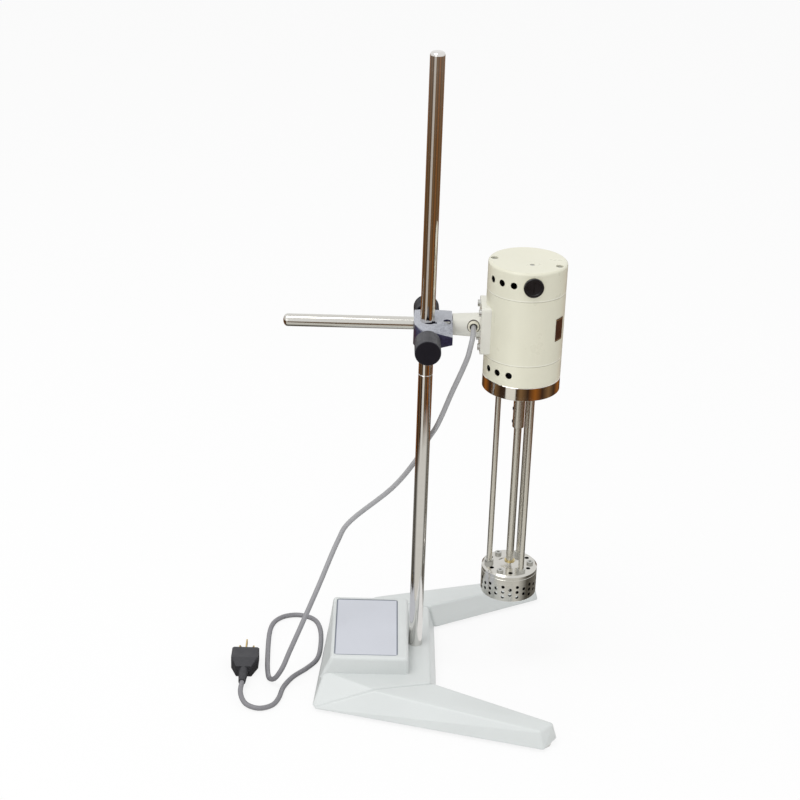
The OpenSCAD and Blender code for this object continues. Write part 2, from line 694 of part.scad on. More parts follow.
module motor_bell() {
  color([0.83, 0.82, 0.75]) difference() {
    union() {
      at_head() rotate_extrude() polygon([[lower_bearing_r + 1, flange_top],
        [motor_r - seam_chamfer, flange_top], [motor_r, flange_top + seam_chamfer],
        [motor_r, bell_seam - seam_chamfer], [motor_r - seam_chamfer, bell_seam],
        [motor_in, bell_seam], [motor_in, flange_top + bell_web],
        [lower_bearing_r + 1, flange_top + bell_web]]);
      around(bolt_azimuths, bolt_pcr) translate([0, 0, flange_top])
        cylinder(r = bolt_boss_r, h = bell_seam - flange_top);
    }
    housing_holes(vent_azimuths, vent_z_bottom, vent_r);
    bracket_screw_holes();
    around(bolt_azimuths, bolt_pcr) translate([0, 0, bolt_bottom - 1])
      cylinder(r = bolt_r + fit, h = 60);
    around(flange_screw_azimuths, flange_screw_pcr) translate([0, 0, flange_top - over])
      cylinder(r = bolt_r + fit, h = 20);
  }
}
module motor_flange() {
  color([0.75, 0.76, 0.77]) difference() {
    at_head() rotate_extrude() polygon([[motor_shaft_r + 2, flange_bottom],
      [motor_r - 0.6, flange_bottom], [motor_r, flange_bottom + 0.6],
      [motor_r, flange_top - 0.6], [motor_r - 0.6, flange_top],
      [lower_bearing_r + fit, flange_top], [lower_bearing_r + fit, flange_top - lower_bearing_t - 1],
      [motor_shaft_r + 2, flange_top - lower_bearing_t - 1]]);
    around(flange_screw_azimuths, flange_screw_pcr) {
      translate([0, 0, flange_bottom - over]) cylinder(r = bolt_r + fit, h = 40);
      translate([0, 0, flange_bottom - over]) cylinder(r = bolt_r + 2.1, h = 4 + over);
    }
    around(support_azimuths, support_pcr) translate([0, 0, flange_bottom - over])
      cylinder(r = support_stud_r + fit, h = 9 + over);
  }
}
module flange_screws() {
  color("silver") around(flange_screw_azimuths, flange_screw_pcr) {
    translate([0, 0, flange_bottom + 1.5]) difference() {
      cylinder(r = bolt_r + 1.8, h = 2.5);
      translate([0, 0, -over]) hexagon(1.5, over + 1.3);
    }
    translate([0, 0, flange_bottom + 3]) cylinder(r = bolt_r, h = flange_t - 3 + bell_web - 0.5);
  }
}
module bearing(r_in, r_out, h) {
  mid = (r_in + r_out) / 2;
  third = (r_out - r_in) / 6;
  rotate_extrude() polygon([[r_in, 0], [mid - third, 0], [mid - third, 0.5], [mid + third, 0.5],
    [mid + third, 0], [r_out, 0], [r_out, h], [mid + third, h], [mid + third, h - 0.5],
    [mid - third, h - 0.5], [mid - third, h], [r_in, h]]);
}
module upper_bearing() {
  color([0.6, 0.6, 0.62]) at_head() translate([0, 0, upper_bearing_z])
    bearing(upper_journal_r + run, upper_bearing_r, 5.9);
}
module lower_bearing() {
  color([0.6, 0.6, 0.62]) at_head() translate([0, 0, flange_top - lower_bearing_t - 1])
    bearing(motor_shaft_r + run, lower_bearing_r, lower_bearing_t);
}
module field_core() {
  bore = armature_r + core_gap;
  window = motor_in - yoke_t;
  color([0.5, 0.5, 0.53]) at_head() translate([0, 0, core_z]) rotate([0, 0, 5])
    linear_extrude(core_l) difference() {
      circle(r = motor_in - fit);
      circle(r = bore);
      difference() {
        circle(r = window);
        circle(r = bore + pole_shoe_t);
        square([2 * motor_r, neck_w], center = true);
      }
      square([14, 2 * window - 2], center = true);
      for (a = bolt_azimuths) rotate(a - 5) translate([bolt_pcr, 0]) circle(r = bolt_r + 0.6);
    }
}
module field_coils() {
  coil_in = armature_r + core_gap + pole_shoe_t + 0.3;
  coil_out = coil_in + 4;
  inner_w = neck_w + 0.6;
  color([0.72, 0.4, 0.2]) at_head() translate([0, 0, core_z]) rotate([0, 0, 5])
    for (side = [0, 180]) rotate([0, 0, side]) difference() {
      translate([coil_in, -inner_w / 2 - 5, -6]) cube([coil_out - coil_in, inner_w + 10, core_l + 12]);
      translate([coil_in - over, -inner_w / 2, -0.4])
        cube([coil_out - coil_in + 2 * over, inner_w, core_l + 0.8]);
    }
}
module brush_caps() {
  color([0.1, 0.1, 0.1]) for (a = brush_azimuths) outward(a, brush_z)
    translate([0, 0, brush_seat]) difference() {
      rotate_extrude() polygon([[0, 0], [brush_cap_r, 0], [brush_cap_r, brush_cap_t - 0.6],
        [brush_cap_r - 0.6, brush_cap_t], [brush_cap_r - 2.6, brush_cap_t],
        [brush_cap_r - 3.2, brush_cap_t - 0.9], [0, brush_cap_t - 0.9]]);
      translate([-6, -0.7, brush_cap_t - 1.9]) cube([12, 1.4, 3]);
    }
}
module brush_holders() {
  color([0.75, 0.6, 0.3]) for (a = brush_azimuths) outward(a, brush_z) difference() {
    translate([0, 0, commutator_r + 3]) cylinder(r = holder_r, h = brush_seat - commutator_r - 3);
    translate([-4, -3.1, 0]) cube([8, 6.2, brush_seat - 2]);
  }
}
module brushes() {
  color([0.2, 0.2, 0.2]) for (a = brush_azimuths) outward(a, brush_z)
    translate([-3.95, -3.05, commutator_r + lift]) cube([7.9, 6.1, 16]);
}
module brush_springs() {
  from = commutator_r + lift + 16;
  turns = 12;
  pitch = (brush_seat - 2 - from) / turns;
  color("silver") for (a = brush_azimuths) outward(a, brush_z) translate([0, 0, from])
    rotate_extrude() polygon(concat([[1.6, 0]],
      [for (k = [0 : turns - 1]) each [[2.4, pitch * k], [2.8, pitch * (k + 0.5)]]],
      [[2.4, pitch * turns], [1.6, pitch * turns]]));
}
module rating_plate() {
  color([0.3, 0.22, 0.16]) at_head() translate([0, 0, plate_low])
    rotate([0, 0, plate_azimuth - plate_arc]) rotate_extrude(angle = 2 * plate_arc)
      translate([motor_r, 0]) square([0.5, plate_h]);
}

module motor_shaft() {
  color([0.75, 0.75, 0.77]) at_head() rotate_extrude() polygon([[0, shaft_end + 0.5],
    [shaft_r, shaft_end + 0.5], [shaft_r, flange_bottom + 3], [motor_shaft_r, flange_bottom + 3],
    [motor_shaft_r, upper_bearing_z - 0.5], [upper_journal_r, upper_bearing_z - 0.5],
    [upper_journal_r, motor_top - cap_roof - 0.6], [0, motor_top - cap_roof - 0.6]]);
}
slot_count = 12;
module armature_core() {
  color([0.45, 0.45, 0.48]) at_head() translate([0, 0, core_z]) linear_extrude(core_l)
    difference() {
      circle(r = armature_r);
      circle(r = motor_shaft_r + fit);
      for (k = [0 : slot_count - 1]) rotate(k * 360 / slot_count)
        translate([armature_r - 8, -1.6]) square([10, 3.2]);
    }
}
module armature_coils() {
  color([0.7, 0.38, 0.18]) at_head() difference() {
    union() {
      translate([0, 0, core_z - 9]) cylinder(r = armature_r - 2, h = 8.8);
      translate([0, 0, core_z + core_l + 0.2]) cylinder(r = armature_r - 2, h = 8.8);
      for (k = [0 : slot_count - 1]) rotate([0, 0, k * 360 / slot_count])
        translate([armature_r - 7.8, -1.4, core_z - 1]) cube([5.6, 2.8, core_l + 2]);
    }
    translate([0, 0, core_z - 20]) cylinder(r = motor_shaft_r + 0.6, h = core_l + 40);
  }
}
module commutator() {
  low = core_z + core_l + 9.4;
  color([0.75, 0.45, 0.25]) at_head() difference() {
    rotate_extrude() polygon([[motor_shaft_r + fit, low], [commutator_r + 2, low],
      [commutator_r + 2, brush_z - 7.5], [commutator_r, brush_z - 7.5], [commutator_r, brush_z + 6],
      [motor_shaft_r + fit, brush_z + 6]]);
    for (k = [0 : slot_count - 1]) rotate([0, 0, k * 360 / slot_count])
      translate([commutator_r - 1.2, -0.4, brush_z - 7]) cube([4, 0.8, 20]);
  }
}
module cooling_fan() {
  blade_count = 9;
  color([0.3, 0.3, 0.32]) at_head() translate([0, 0, fan_z]) difference() {
    union() {
      cylinder(r = 9, h = fan_h);
      cylinder(r = fan_r, h = 1.6);
      for (k = [0 : blade_count - 1]) rotate([0, 0, k * 360 / blade_count])
        translate([8, -0.8, 0]) cube([fan_r - 9, 1.6, fan_h - 1]);
    }
    translate([0, 0, -over]) cylinder(r = motor_shaft_r + fit, h = fan_h + 2 * over);
  }
}
module shaft_coupling() {
  color([0.7, 0.7, 0.72]) difference() {
    at_head() rotate_extrude() polygon([[shaft_r + fit, coupling_bottom],
      [coupling_r - 0.6, coupling_bottom], [coupling_r, coupling_bottom + 0.6],
      [coupling_r, coupling_top - 0.6], [coupling_r - 0.6, coupling_top],
      [shaft_r + fit, coupling_top]]);
    for (z = coupling_screw_z) outward(180, z)
      cylinder(r = coupling_screw_r + fit, h = 20);
  }
}
module coupling_screws() {
  color([0.35, 0.35, 0.37]) for (z = coupling_screw_z) outward(180, z)
    translate([0, 0, shaft_r + fit]) difference() {
      cylinder(r = coupling_screw_r, h = coupling_r - shaft_r + 0.7);
      translate([0, 0, 2]) hexagon(1, 5);
    }
}
module drive_shaft() {
  step_z = rotor_z + rotor_h - 4;
  tip_z = rotor_z - 3.6;
  color([0.78, 0.78, 0.8]) at_head() rotate_extrude() polygon([[0, tip_z], [shaft_tip_r - 0.4, tip_z],
    [shaft_tip_r, tip_z + 0.4], [shaft_tip_r, step_z], [shaft_r, step_z],
    [shaft_r, shaft_end - 0.5], [0, shaft_end - 0.5]]);
}
module support_rods() {
  color([0.76, 0.76, 0.75]) around(support_azimuths, support_pcr) {
    translate([0, 0, stator_top]) cylinder(r = support_r, h = flange_bottom - stator_top);
    translate([0, 0, sleeve_top]) cylinder(r = support_stud_r, h = 10);
    translate([0, 0, flange_bottom - 2]) cylinder(r = support_stud_r, h = 10);
  }
}
module rod_nuts() {
  color("silver") around(support_azimuths, support_pcr) translate([0, 0, stator_top])
    difference() {
      hexagon(support_nut_r, support_nut_h);
      translate([0, 0, -over]) cylinder(r = support_r + fit, h = support_nut_h + 2 * over);
    }
}
module stator_cap() {
  hub_foot_r = 14;
  color([0.82, 0.82, 0.8]) difference() {
    at_head() rotate_extrude() polygon([[bush_r + fit, sleeve_top], [stator_r - 0.3, sleeve_top],
      [stator_r, sleeve_top + 0.3], [stator_r, stator_top - 2], [stator_r - 2, stator_top],
      [hub_foot_r, stator_top], [bush_r + 1.5, stator_top + 3.5], [bush_r + fit, stator_top + 3.5]]);
    around(flow_azimuths, flow_pcr) translate([0, 0, sleeve_top - over])
      cylinder(r = flow_r, h = stator_cap_t + 2 * over);
    around(screw_azimuths, support_pcr) translate([0, 0, sleeve_top - over])
      cylinder(r = stator_screw_r + fit, h = stator_cap_t + 2 * over);
    around(support_azimuths, support_pcr) translate([0, 0, sleeve_top - over])
      cylinder(r = support_stud_r + fit, h = stator_cap_t + 2 * over);
  }
}
module shaft_bush() {
  color([0.8, 0.62, 0.25]) at_head() translate([0, 0, bore_top]) {
    tube(bush_r, shaft_r + run, bush_top - bore_top);
  }
}
module stator_screws() {
  color("silver") around(screw_azimuths, support_pcr) {
    translate([0, 0, stator_top]) difference() {
      cylinder(r = stator_screw_r + 1.9, h = 2.6);
      translate([0, 0, 1.3]) hexagon(1.7, 3);
    }
    translate([0, 0, bore_top + 0.5]) cylinder(r = stator_screw_r, h = stator_top - bore_top);
  }
}
module stator() {
  color([0.8, 0.8, 0.77]) difference() {
    at_head() rotate_extrude() polygon([[stator_in, stator_z], [stator_r - 0.4, stator_z],
      [stator_r, stator_z + 0.4], [stator_r, sleeve_top - 0.3], [stator_r - 0.3, sleeve_top],
      [rim_in, sleeve_top], [rim_in, bore_top], [stator_in, bore_top]]);
    for (k = [0 : column_count - 1]) {
      rows = k % 2 == 0 ? [-0.5, 0.5] : [-1, 0, 1];
      for (row = rows) outward(270 + k * 360 / column_count, mid_hole_z + row * hole_pitch)
        translate([0, 0, stator_in - 2]) cylinder(r = stator_hole_r, h = stator_wall + 4, $fn = 24);
    }
    around(flow_azimuths, flow_pcr) translate([0, 0, bore_top - over])
      cylinder(r = flow_r, h = rim_t + 2 * over);
    around(screw_azimuths, support_pcr) translate([0, 0, bore_top - over])
      cylinder(r = stator_screw_r + fit, h = rim_t + 2 * over);
  }
}
module rotor_blade(r, arc_r, t) {
  intersection() {
    difference() {
      circle(r = r);
      circle(r = 6);
    }
    translate([0, arc_r]) difference() {
      circle(r = arc_r + t / 2);
      circle(r = arc_r - t / 2);
    }
    translate([0, -5]) square([r + 5, r + 10]);
  }
}
module rotor() {
  r = stator_in - rotor_gap;
  color([0.74, 0.74, 0.76]) at_head() translate([0, 0, rotor_z]) difference() {
    union() {
      cylinder(r = 9, h = rotor_h);
      translate([0, 0, rotor_h - rotor_disc_t]) cylinder(r = r - 2, h = rotor_disc_t);
      for (k = [0 : 3]) rotate([0, 0, 90 * k]) linear_extrude(rotor_h - 0.5) rotor_blade(r, 24, 4);
    }
    translate([0, 0, -over]) cylinder(r = shaft_tip_r + fit, h = rotor_h + 2 * over);
    translate([0, 0, rotor_h - 4]) cylinder(r = shaft_r + fit, h = rotor_h);
  }
}
module rotor_nut() {
  color("silver") at_head() translate([0, 0, rotor_z - 3.2]) difference() {
    hexagon(rotor_nut_r, 3.2);
    translate([0, 0, -over]) cylinder(r = shaft_tip_r + fit, h = 3.2 + 2 * over);
  }
}

// A smooth curve through the route's points, and a tube swept along it
last = len(cord_route) - 1;
function route_at(k) = cord_route[max(0, min(last, k))];
function smooth(k, t) = let (a = route_at(k - 1), b = route_at(k), c = route_at(k + 1),
  d = route_at(k + 2)) 0.5 * (2 * b + (c - a) * t + (2 * a - 5 * b + 4 * c - d) * t * t +
  (3 * b - 3 * c + d - a) * t * t * t);
cord_path = concat([for (k = [0 : last - 1], s = [0 : cord_steps - 1]) smooth(k, s / cord_steps)],
  [cord_route[last]]);
function unit(v) = v / norm(v);
function heading(k) = unit(cord_path[min(len(cord_path) - 1, k + 1)] - cord_path[max(0, k - 1)]);
function carried(v, along) = unit(v - (v * along) * along);
function side_at(k) = k == 0 ? carried([1, 0, 0], heading(0)) : carried(side_at(k - 1), heading(k));
module cord() {
  rings = [for (k = [0 : len(cord_path) - 1]) let (u = side_at(k), w = cross(heading(k), u))
    for (s = [0 : cord_sides - 1]) let (a = 360 * s / cord_sides)
      cord_path[k] + cord_r * (cos(a) * u + sin(a) * w)];
  n = len(cord_path) - 1;
  quads = [for (k = [0 : n - 1], s = [0 : cord_sides - 1]) let (t = (s + 1) % cord_sides)
    each [[k * cord_sides + s, (k + 1) * cord_sides + t, k * cord_sides + t],
      [k * cord_sides + s, (k + 1) * cord_sides + s, (k + 1) * cord_sides + t]]];
  first_face = [for (s = [0 : cord_sides - 1]) s];
  last_face = [for (s = [cord_sides - 1 : -1 : 0]) n * cord_sides + s];
  color([0.62, 0.62, 0.63]) polyhedron(points = rings, faces = concat(quads, [first_face, last_face]));
}
module at_plug() { translate([plug_at.x, plug_at.y, 0]) children(); }
module plug_relief() {
  color([0.13, 0.13, 0.14]) at_plug() translate([0, lift, plug_at.z]) to_back()
    cylinder(r1 = cord_r + 1.1, r2 = 6, h = plug_relief_l - lift);
}
module plug_body() {
  taper = 5;
  color([0.14, 0.14, 0.15]) at_plug() translate([0, plug_relief_l, 0]) hull() {
    translate([-9, 0, 1]) cube([18, 1, plug_t - 4]);
    translate([-plug_w / 2, plug_l * 0.45, 1.5]) cube([plug_w, plug_l * 0.55 - 1, plug_t - 3]);
    translate([-plug_w / 2 + 2, plug_l * 0.4, 0]) cube([plug_w - 4, plug_l * 0.6 - 1, plug_t]);
    translate([-plug_w / 2 + taper - 3, plug_l - 1, 2]) cube([plug_w - 2 * taper + 6, 1, plug_t - 4]);
  }
}
module plug_pins() {
  color([0.85, 0.8, 0.6]) at_plug() translate([0, plug_relief_l + plug_l, plug_z]) to_back() {
    for (x = [-7, 7]) translate([x, 3, 0]) rotate([0, 0, x > 0 ? 30 : -30])
      translate([-0.8, -3.2, 0]) cube([1.6, 6.4, pin_l]);
    translate([-0.8, -7.2, 0]) cube([1.6, 5.8, pin_l + 2]);
  }
}

base();
panel_plate();
rubber_feet();
foot_screws();
post_lower();
post_upper();
post_washer();
post_nut();
boss_head();
boss_screw();
post_pad();
post_stud();
post_knob();
rod_pad();
rod_stud();
rod_knob();
cross_rod();
motor_bracket();
bracket_grub_screw();
bracket_screws();
gland_ring();
gland_grommet();
motor_cap();
roof_screw();
cap_bolts();
motor_housing();
motor_bell();
motor_flange();
flange_screws();
upper_bearing();
lower_bearing();
field_core();
field_coils();
brush_caps();
brush_holders();
brushes();
brush_springs();
rating_plate();
motor_shaft();
armature_core();
armature_coils();
commutator();
cooling_fan();
shaft_coupling();
coupling_screws();
drive_shaft();
support_rods();
rod_nuts();
stator_cap();
shaft_bush();
stator_screws();
stator();
rotor();
rotor_nut();
cord();
plug_body();
plug_pins();
plug_relief();
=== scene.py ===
import bpy, json, math
from mathutils import Matrix, Vector


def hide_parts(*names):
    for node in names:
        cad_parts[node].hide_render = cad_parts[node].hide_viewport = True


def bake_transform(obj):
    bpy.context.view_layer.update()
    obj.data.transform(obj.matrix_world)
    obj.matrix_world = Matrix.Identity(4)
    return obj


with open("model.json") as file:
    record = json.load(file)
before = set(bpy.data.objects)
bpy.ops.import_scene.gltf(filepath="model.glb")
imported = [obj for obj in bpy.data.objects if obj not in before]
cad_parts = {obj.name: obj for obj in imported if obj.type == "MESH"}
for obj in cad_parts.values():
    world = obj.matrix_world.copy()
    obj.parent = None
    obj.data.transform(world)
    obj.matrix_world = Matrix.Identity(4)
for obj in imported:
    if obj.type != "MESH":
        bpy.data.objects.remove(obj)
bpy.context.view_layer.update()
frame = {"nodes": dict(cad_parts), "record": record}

# ---- sizes shared with the frame, in metres ----
HEAD_X, ROD_Y = 0.1076, 0.018            # the motor's axis
CORD_R = 0.003                           # the lead
SHEATH_R = CORD_R * 0.97                 # its visible sheath, just inside the CAD tube
MOTOR_IN = 0.0428                        # radius inside which the motor's enamel is painted dark as shade
VENT_MID, VENT_REACH = 0.441, 0.0605     # middle and half height of the vented part
CAP_SEAM, BELL_SEAM = 0.476, 0.400       # heights of the motor's seams
STATOR_IN, STATOR_LID = 0.0321, 0.1235   # radius and top of the stator's inside, which is painted with shade
GLAND_X, GLAND_Z = 0.051, 0.434          # the cable gland's axis
GROOVE_R = 0.00718                       # the groove round it
GROOVE_SHADE_FRONT = 0.0102                    # the groove's painted shade lies in front of this Y
PLATE_X, PLATE_W, PLATE_L = -0.058, 0.074, 0.124
LABEL_Z, LABEL_FRAME = 0.439, 0.0118     # the rating plate's middle, and its frame's half height

# ---- camera, fitted to the photograph ----
CAMERA_TURNS = (0.883, 24.723, 1.851)    # yaw, pitch and roll in degrees
CAMERA_AT = (-0.055333, -1.821015, 1.184411)
LENS, SENSOR, CLIP_END = 80.95, 36, 50

# ---- stage and light ----
FLOOR_SIZE, FLOOR_GREY, FLOOR_GLOW = 12, 0.93, 0.84
WORLD_LIGHT = 0.76
WHITE = (1, 1, 1, 1)
RING_IN, RING_OUT, RING_SIDES, RING_Z = 0.14, 14.0, 96, 0.0005
RING_AT = (0.06, -0.05, 0)
STRIPS = 16                              # strips of the room that the metal mirrors
WINDOW = (0.11, 0.12, 0.20, 0.21)        # the edges of its window, as places round the circle

# numbers of the Mix node's colour sockets
FACTOR, SIDE_A, SIDE_B, MIXED = 0, 6, 7, 2


def srgb(r, g, b):
    def one(c):
        c /= 255
        return c / 12.92 if c <= 0.04045 else ((c + 0.055) / 1.055) ** 2.4
    return (one(r), one(g), one(b), 1.0)


def shade(colour, k):
    return (colour[0] * k, colour[1] * k, colour[2] * k, 1)


def make_camera():
    yaw, pitch, roll = (math.radians(a) for a in CAMERA_TURNS)
    forward = Vector((math.sin(yaw) * math.cos(pitch), math.cos(yaw) * math.cos(pitch),
                      -math.sin(pitch)))
    right = Vector((math.cos(yaw), -math.sin(yaw), 0))
    up = right.cross(forward)
    rolled_right = right * math.cos(roll) + up * math.sin(roll)
    rolled_up = -right * math.sin(roll) + up * math.cos(roll)
    data = bpy.data.cameras.new("camera")
    data.lens, data.sensor_width, data.clip_end = LENS, SENSOR, CLIP_END
    cam = bpy.data.objects.new("camera", data)
    bpy.context.collection.objects.link(cam)
    m = Matrix((rolled_right, rolled_up, -forward)).transposed().to_4x4()
    m.translation = Vector(CAMERA_AT)
    cam.matrix_world = m
    bpy.context.scene.camera = cam


make_camera()

# ---- cord: its route in millimetres, the same as the CAD tube's ----
CORD_ROUTE = [[51, 5, 434], [50.5, -4, 434], [50, -12.5, 432.5], [48.5, -20, 427.5],
              [46.5, -25, 420], [44, -27, 410], [37, -25, 389], [29, -18, 364], [20, -4, 330],
              [14, 7, 309], [6, 16, 290], [-6, 22, 261], [-33, 32, 218], [-80, 43, 168],
              [-95, 35, 144], [-116, 0, 102], [-136, -33, 64], [-147, -47.5, 42],
              [-153, -55.5, 29], [-158, -58, 20], [-163, -56, 11.5], [-168, -49, 5.5],
              [-172, -38, 3.2], [-175, -5, 3.2], [-176, 62, 3.2], [-166, 89, 3.2],
              [-145, 98, 3.2], [-124, 89, 3.2], [-115, 66, 3.2], [-113, 30, 3.2],
              [-116, 0, 3.2], [-127, -20, 3.2], [-143, -40, 3.2], [-153, -62, 3.2],
              [-157, -84, 3.2], [-164, -99, 3.2], [-179, -106, 3.6], [-194, -100, 5.5],
              [-201, -84, 9], [-201, -62, 9]]
CORD_STEPS, CORD_SIDES = 5, 16
# the lead is three runs end to end, each crossing one joint; these are the path points where they
# meet
TOP_END, LOW_START = 35, 55


def smooth_path(points, steps):
    """A Catmull-Rom curve through points in millimetres, as points in metres."""
    pts = [Vector(p) * 0.001 for p in points]
    last = len(pts) - 1
    out = []
    for k in range(last):
        a, b, c, d = pts[max(0, k - 1)], pts[k], pts[k + 1], pts[min(last, k + 2)]
        for s in range(steps):
            t = s / steps
            out.append(0.5 * (2 * b + (c - a) * t + (2 * a - 5 * b + 4 * c - d) * t * t
                              + (3 * b - 3 * c + d - a) * t ** 3))
    out.append(pts[last])
    return out


def new_mesh(name, verts, faces, smooth=True):
    me = bpy.data.meshes.new(name)
    me.from_pydata([tuple(v) for v in verts], [], faces)
    me.validate()
    if smooth:
        me.polygons.foreach_set("use_smooth", [True] * len(me.polygons))
    ob = bpy.data.objects.new(name, me)
    bpy.context.collection.objects.link(ob)
    return ob


def swept(name, path, radius, sides):
    """A closed tube along path."""
    n = len(path)
    heads = [(path[min(n - 1, k + 1)] - path[max(0, k - 1)]).normalized() for k in range(n)]
    side = Vector((1, 0, 0))
    verts, faces = [], []
    for p, h in zip(path, heads):
        side = (side - side.dot(h) * h).normalized()
        other = h.cross(side)
        for s in range(sides):
            a = 2 * math.pi * s / sides
            verts.append(p + radius * (math.cos(a) * side + math.sin(a) * other))
    for k in range(n - 1):
        for s in range(sides):
            t = (s + 1) % sides
            faces.append((k * sides + s, k * sides + t, (k + 1) * sides + t, (k + 1) * sides + s))
    faces.append(tuple(range(sides - 1, -1, -1)))
    faces.append(tuple((n - 1) * sides + s for s in range(sides)))
    return new_mesh(name, verts, faces)


cord_path = smooth_path(CORD_ROUTE, CORD_STEPS)
runs = {"cord_top": cord_path[:TOP_END + 1],
        "cord_upper": cord_path[TOP_END:LOW_START + 1],
        "cord_lower": cord_path[LOW_START:]}
cords = {}
for run, line in runs.items():
    cords[run] = swept(run, line, SHEATH_R, CORD_SIDES)
    cords[run].data.set_sharp_from_angle(angle=math.radians(50))


# ---- nodes ----
def add_node(tree, kind, inputs=None, **settings):
    """A node with its settings. Each input is linked to a socket or node, or set to a value."""
    node = tree.nodes.new(kind)
    for key, value in settings.items():
        setattr(node, key, value)
    for key, value in (inputs or {}).items():
        if isinstance(value, bpy.types.Node):
            value = value.outputs[0]
        if isinstance(value, bpy.types.NodeSocket):
            tree.links.new(value, node.inputs[key])
        else:
            node.inputs[key].default_value = value
    return node


def fill_ramp(node, stops):
    ramp = node.color_ramp
    while len(ramp.elements) < len(stops):
        ramp.elements.new(0.5)
    for e, (pos, colour) in zip(ramp.elements, stops):
        e.position = pos
        e.color = colour


def empty_tree(owner):
    owner.use_nodes = True
    owner.node_tree.nodes.clear()
    return owner.node_tree


def make_floor():
    """A white sheet: camera and glossy rays see it nearly white, the light falls on a grey."""
    bpy.ops.mesh.primitive_plane_add(size=FLOOR_SIZE, location=(0, 0, 0))
    floor = bpy.context.object
    floor.name = "floor"
    mat = bpy.data.materials.new("floor")
    tree = empty_tree(mat)
    ray = add_node(tree, "ShaderNodeLightPath").outputs
    seen = add_node(tree, "ShaderNodeMath",
                    {0: ray["Is Camera Ray"], 1: ray["Is Glossy Ray"]}, operation="MAXIMUM")
    share = add_node(tree, "ShaderNodeMath", {0: seen, 1: FLOOR_GLOW}, operation="MULTIPLY")
    matte = add_node(tree, "ShaderNodeBsdfDiffuse",
                     {"Color": (FLOOR_GREY, FLOOR_GREY, FLOOR_GREY, 1)})
    glow = add_node(tree, "ShaderNodeEmission", {"Color": WHITE, "Strength": 1.0})
    mix = add_node(tree, "ShaderNodeMixShader", {0: share, 1: matte, 2: glow})
    add_node(tree, "ShaderNodeOutputMaterial", {0: mix})
    floor.data.materials.append(mat)


def make_world():
    """White where it is seen or mirrored, and a little darker as a light."""
    world = bpy.data.worlds.new("world")
    bpy.context.scene.world = world
    tree = empty_tree(world)
    ray = add_node(tree, "ShaderNodeLightPath").outputs
    seen = add_node(tree, "ShaderNodeMath",
                    {0: ray["Is Camera Ray"], 1: ray["Is Glossy Ray"]}, operation="MAXIMUM")
    seen = add_node(tree, "ShaderNodeMath",
                    {0: seen, 1: ray["Is Transmission Ray"]}, operation="MAXIMUM")
    light = add_node(tree, "ShaderNodeBackground", {"Color": WHITE, "Strength": WORLD_LIGHT})
    show = add_node(tree, "ShaderNodeBackground", {"Color": WHITE, "Strength": 1.0})
    mix = add_node(tree, "ShaderNodeMixShader", {0: seen, 1: light, 2: show})
    add_node(tree, "ShaderNodeOutputWorld", {0: mix})


def area_light(name, at, aim, size, power):
    light = bpy.data.lights.new(name, "AREA")
    light.shape, light.size, light.energy = "DISK", size, power
    ob = bpy.data.objects.new(name, light)
    bpy.context.collection.objects.link(ob)
    ob.location = at
    ob.rotation_euler = (Vector(aim) - Vector(at)).to_track_quat("-Z", "Y").to_euler()


def make_table():
    """The table and room past the white sheet, as a flat ring that only reflections see."""
    angles = [2 * math.pi * k / RING_SIDES for k in range(RING_SIDES)]
    ring = [(r * math.cos(a), r * math.sin(a), RING_Z)
            for a in angles for r in (RING_IN, RING_OUT)]
    count = 2 * RING_SIDES
    quads = [(k, k + 1, (k + 3) % count, (k + 2) % count) for k in range(0, count, 2)]
    table = new_mesh("table_beyond", ring, quads, smooth=False)
    table.location = RING_AT
    mat = bpy.data.materials.new("table_beyond")
    tree = empty_tree(mat)

    def ramp(stops):
        node = add_node(tree, "ShaderNodeValToRGB", {0: turn})
        fill_ramp(node, stops)
        return node

    def fade(start, end, most=1.0, **settings):
        """0 nearer than start, rising to most at end, in metres from the ring's middle."""
        return add_node(tree, "ShaderNodeMapRange", {"Value": away.outputs["Value"],
                        "From Min": start, "From Max": end, "To Max": most}, **settings)

    def blended(share, near, far):
        node = add_node(tree, "ShaderNodeMix", {FACTOR: share, SIDE_A: near, SIDE_B: far},
                        data_type="RGBA")
        return node.outputs[MIXED]

    where = add_node(tree, "ShaderNodeTexCoord").outputs["Object"]
    turn = add_node(tree, "ShaderNodeTexGradient", {0: where}, gradient_type="RADIAL")
    turn = turn.outputs["Fac"]
    away = add_node(tree, "ShaderNodeVectorMath", {0: where}, operation="LENGTH")
    white = srgb(236, 234, 228)
    brown, dark, amber = srgb(128, 98, 66), srgb(58, 42, 32), srgb(152, 92, 36)
    # places round the circle, seen from above: 0 at -X, 0.25 at -Y, 0.5 at +X.
    # A made-up brown room in even strips, with one pale window at the front left.
    strips = [brown, dark, amber, dark]
    room = [(k / STRIPS, strips[k % len(strips)]) for k in range(STRIPS)]
    room = [stop for stop in room if not WINDOW[0] <= stop[0] <= WINDOW[-1]]
    bands = ramp(sorted(room + list(zip(WINDOW, (dark, white, white, dark)))))
    # nearer, round the stand's foot, the surface is pale in front and grey elsewhere
    pale, grey, slate = srgb(226, 224, 218), srgb(150, 146, 138), srgb(84, 80, 72)
    around = ramp([(0.00, slate), (0.08, pale), (0.40, pale), (0.50, slate), (0.75, grey),
                   (0.95, slate)])
    tone = blended(fade(0.54, 0.66), around, bands)
    dusk = blended(fade(0.85, 1.20, 0.4), tone, brown)
    haze = blended(fade(1.7, 9.0, interpolation_type="SMOOTHSTEP"), dusk, srgb(244, 243, 240))
    glow = add_node(tree, "ShaderNodeEmission", {"Color": haze})
    add_node(tree, "ShaderNodeOutputMaterial", {0: glow})
    table.data.materials.append(mat)
    table.visible_camera = table.visible_diffuse = False
    table.visible_shadow = table.visible_transmission = False


